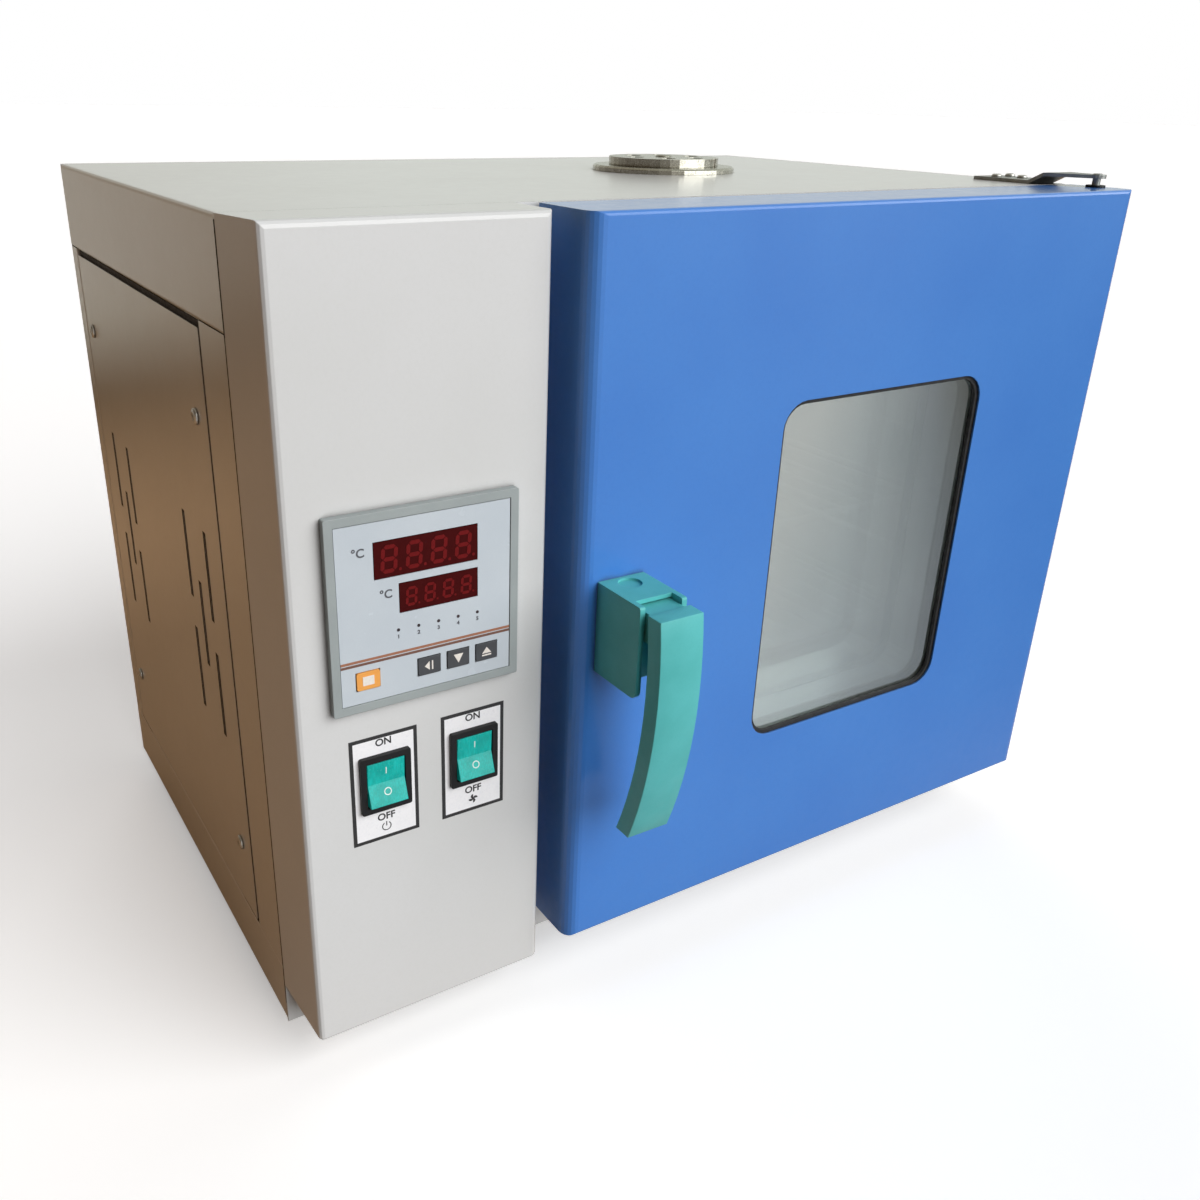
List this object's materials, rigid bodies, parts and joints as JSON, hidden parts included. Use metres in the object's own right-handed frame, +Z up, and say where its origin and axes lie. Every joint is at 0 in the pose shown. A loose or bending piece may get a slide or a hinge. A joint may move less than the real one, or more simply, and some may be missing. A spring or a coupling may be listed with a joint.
{
  "type": "drying oven",
  "caption": "Bench-top forced-air drying oven with a windowed side-hinged door, lever latch, wire shelves, temperature controller, rocker switches and a turning roof vent.",
  "frame": {"origin": "on the surface the feet stand on, under the middle of the whole oven's box, which takes in the handle at the front and the cable gland at the rear", "axes": "+Z up; -Y towards the front, out of the door; +X to the right as seen from the front, towards the door's hinges"},
  "size_m": [0.532, 0.438, 0.4407],
  "materials": {
    "cabinet_paint": "semi-gloss warm off-white paint with a fine texture",
    "door_paint": "semi-gloss mid blue paint with a fine texture",
    "stainless": "brushed stainless steel",
    "zinc_plate": "zinc-plated steel",
    "handle_plastic": "moulded teal green plastic",
    "bezel_plastic": "moulded grey plastic",
    "face_film": "glossy pale printed film",
    "display_filter": "dark red tinted filter",
    "black_plastic": "moulded black plastic",
    "rocker_plastic": "translucent green moulding",
    "orange_key": "orange key cap",
    "grey_key": "dark grey key cap",
    "clear_glass": "clear toughened glass",
    "foot_rubber": "black rubber",
    "seal_rubber": "black rubber",
    "silicone": "grey silicone sponge",
    "mineral_wool": "pressed mineral wool",
    "motor_iron": "painted cast housing"
  },
  "bodies": {
    "cabinet": {"top_cover": "cabinet_paint", "right_side_panel": "cabinet_paint", "base_pan": "cabinet_paint", "rear_panel": "cabinet_paint", "left_front_post": "cabinet_paint", "left_side_panel": "cabinet_paint", "side_panel_screw_1": "zinc_plate", "side_panel_screw_2": "zinc_plate", "side_panel_screw_3": "zinc_plate", "side_panel_screw_4": "zinc_plate", "front_frame": "cabinet_paint", "partition_wall": "zinc_plate", "control_cover": "cabinet_paint", "chamber_liner": "stainless", "insulation_jacket": "mineral_wool", "duct_plate": "stainless", "shelf_rail_left": "stainless", "shelf_rail_right": "stainless", "shelf_lower": "stainless", "shelf_upper": "stainless", "heater_element": "stainless", "fan_motor": "motor_iron", "vent_base": "stainless", "hinge_plate_top": "zinc_plate", "hinge_pin_top": "zinc_plate", "hinge_plate_bottom": "zinc_plate", "foot_front_left": "foot_rubber", "foot_rear_left": "foot_rubber", "foot_front_right": "foot_rubber", "foot_rear_right": "foot_rubber", "cable_gland": "black_plastic", "latch_strike": "zinc_plate", "controller_housing": "bezel_plastic", "controller_face": "face_film", "upper_display": "display_filter", "lower_display": "display_filter", "power_switch_housing": "black_plastic", "fan_switch_housing": "black_plastic"},
    "door": {"door_skin": "door_paint", "door_inner_panel": "cabinet_paint", "window_seal": "seal_rubber", "window_outer_glass": "clear_glass", "window_inner_glass": "clear_glass", "window_tunnel": "stainless", "door_gasket": "silicone", "door_bush_top": "black_plastic", "door_bush_bottom": "black_plastic", "handle_base": "handle_plastic", "lever_pin": "zinc_plate"},
    "lever": {"handle_lever": "handle_plastic", "latch_hook": "zinc_plate"},
    "power_rocker": {"power_switch_rocker": "rocker_plastic"},
    "fan_rocker": {"fan_switch_rocker": "rocker_plastic"},
    "set_button": {"set_key": "orange_key"},
    "shift_button": {"shift_key": "grey_key"},
    "down_button": {"down_key": "grey_key"},
    "up_button": {"up_key": "grey_key"},
    "vent_damper": {"vent_cap": "stainless"},
    "fan": {"fan_shaft": "zinc_plate", "fan_impeller": "stainless"}
  },
  "joints": [
    {"name": "door_hinge", "type": "hinge", "parent": "cabinet", "child": "door", "pos_m": [0.258, -0.145, 0.22], "axis": [0, 0, 1], "range_deg": [0, 110]},
    {"name": "lever_pivot", "type": "hinge", "parent": "door", "child": "lever", "pos_m": [-0.0918, -0.193, 0.2475], "axis": [-1, 0, 0], "range_deg": [0, 15], "stiffness_Nm_per_rad": 0.5, "springref_deg": -5.73},
    {"name": "power_switch", "type": "hinge", "parent": "cabinet", "child": "power_rocker", "pos_m": [-0.2161, -0.152, 0.1712], "axis": [1, 0, 0], "range_deg": [0, 16]},
    {"name": "fan_switch", "type": "hinge", "parent": "cabinet", "child": "fan_rocker", "pos_m": [-0.1679, -0.152, 0.1712], "axis": [1, 0, 0], "range_deg": [0, 16]},
    {"name": "set_key_press", "type": "slide", "parent": "cabinet", "child": "set_button", "axis": [0, 1, 0], "range_m": [0, 0.0006], "stiffness_N_per_m": 500},
    {"name": "shift_key_press", "type": "slide", "parent": "cabinet", "child": "shift_button", "axis": [0, 1, 0], "range_m": [0, 0.0006], "stiffness_N_per_m": 500},
    {"name": "down_key_press", "type": "slide", "parent": "cabinet", "child": "down_button", "axis": [0, 1, 0], "range_m": [0, 0.0006], "stiffness_N_per_m": 500},
    {"name": "up_key_press", "type": "slide", "parent": "cabinet", "child": "up_button", "axis": [0, 1, 0], "range_m": [0, 0.0006], "stiffness_N_per_m": 500},
    {"name": "vent_turn", "type": "hinge", "parent": "cabinet", "child": "vent_damper", "pos_m": [0.084, 0.051, 0.437], "axis": [0, 0, 1], "range_deg": [0, 30]},
    {"name": "fan_spin", "type": "hinge", "parent": "cabinet", "child": "fan", "pos_m": [-0.1, 0.006, 0.2345], "axis": [1, 0, 0], "continuous": true}
  ]
}
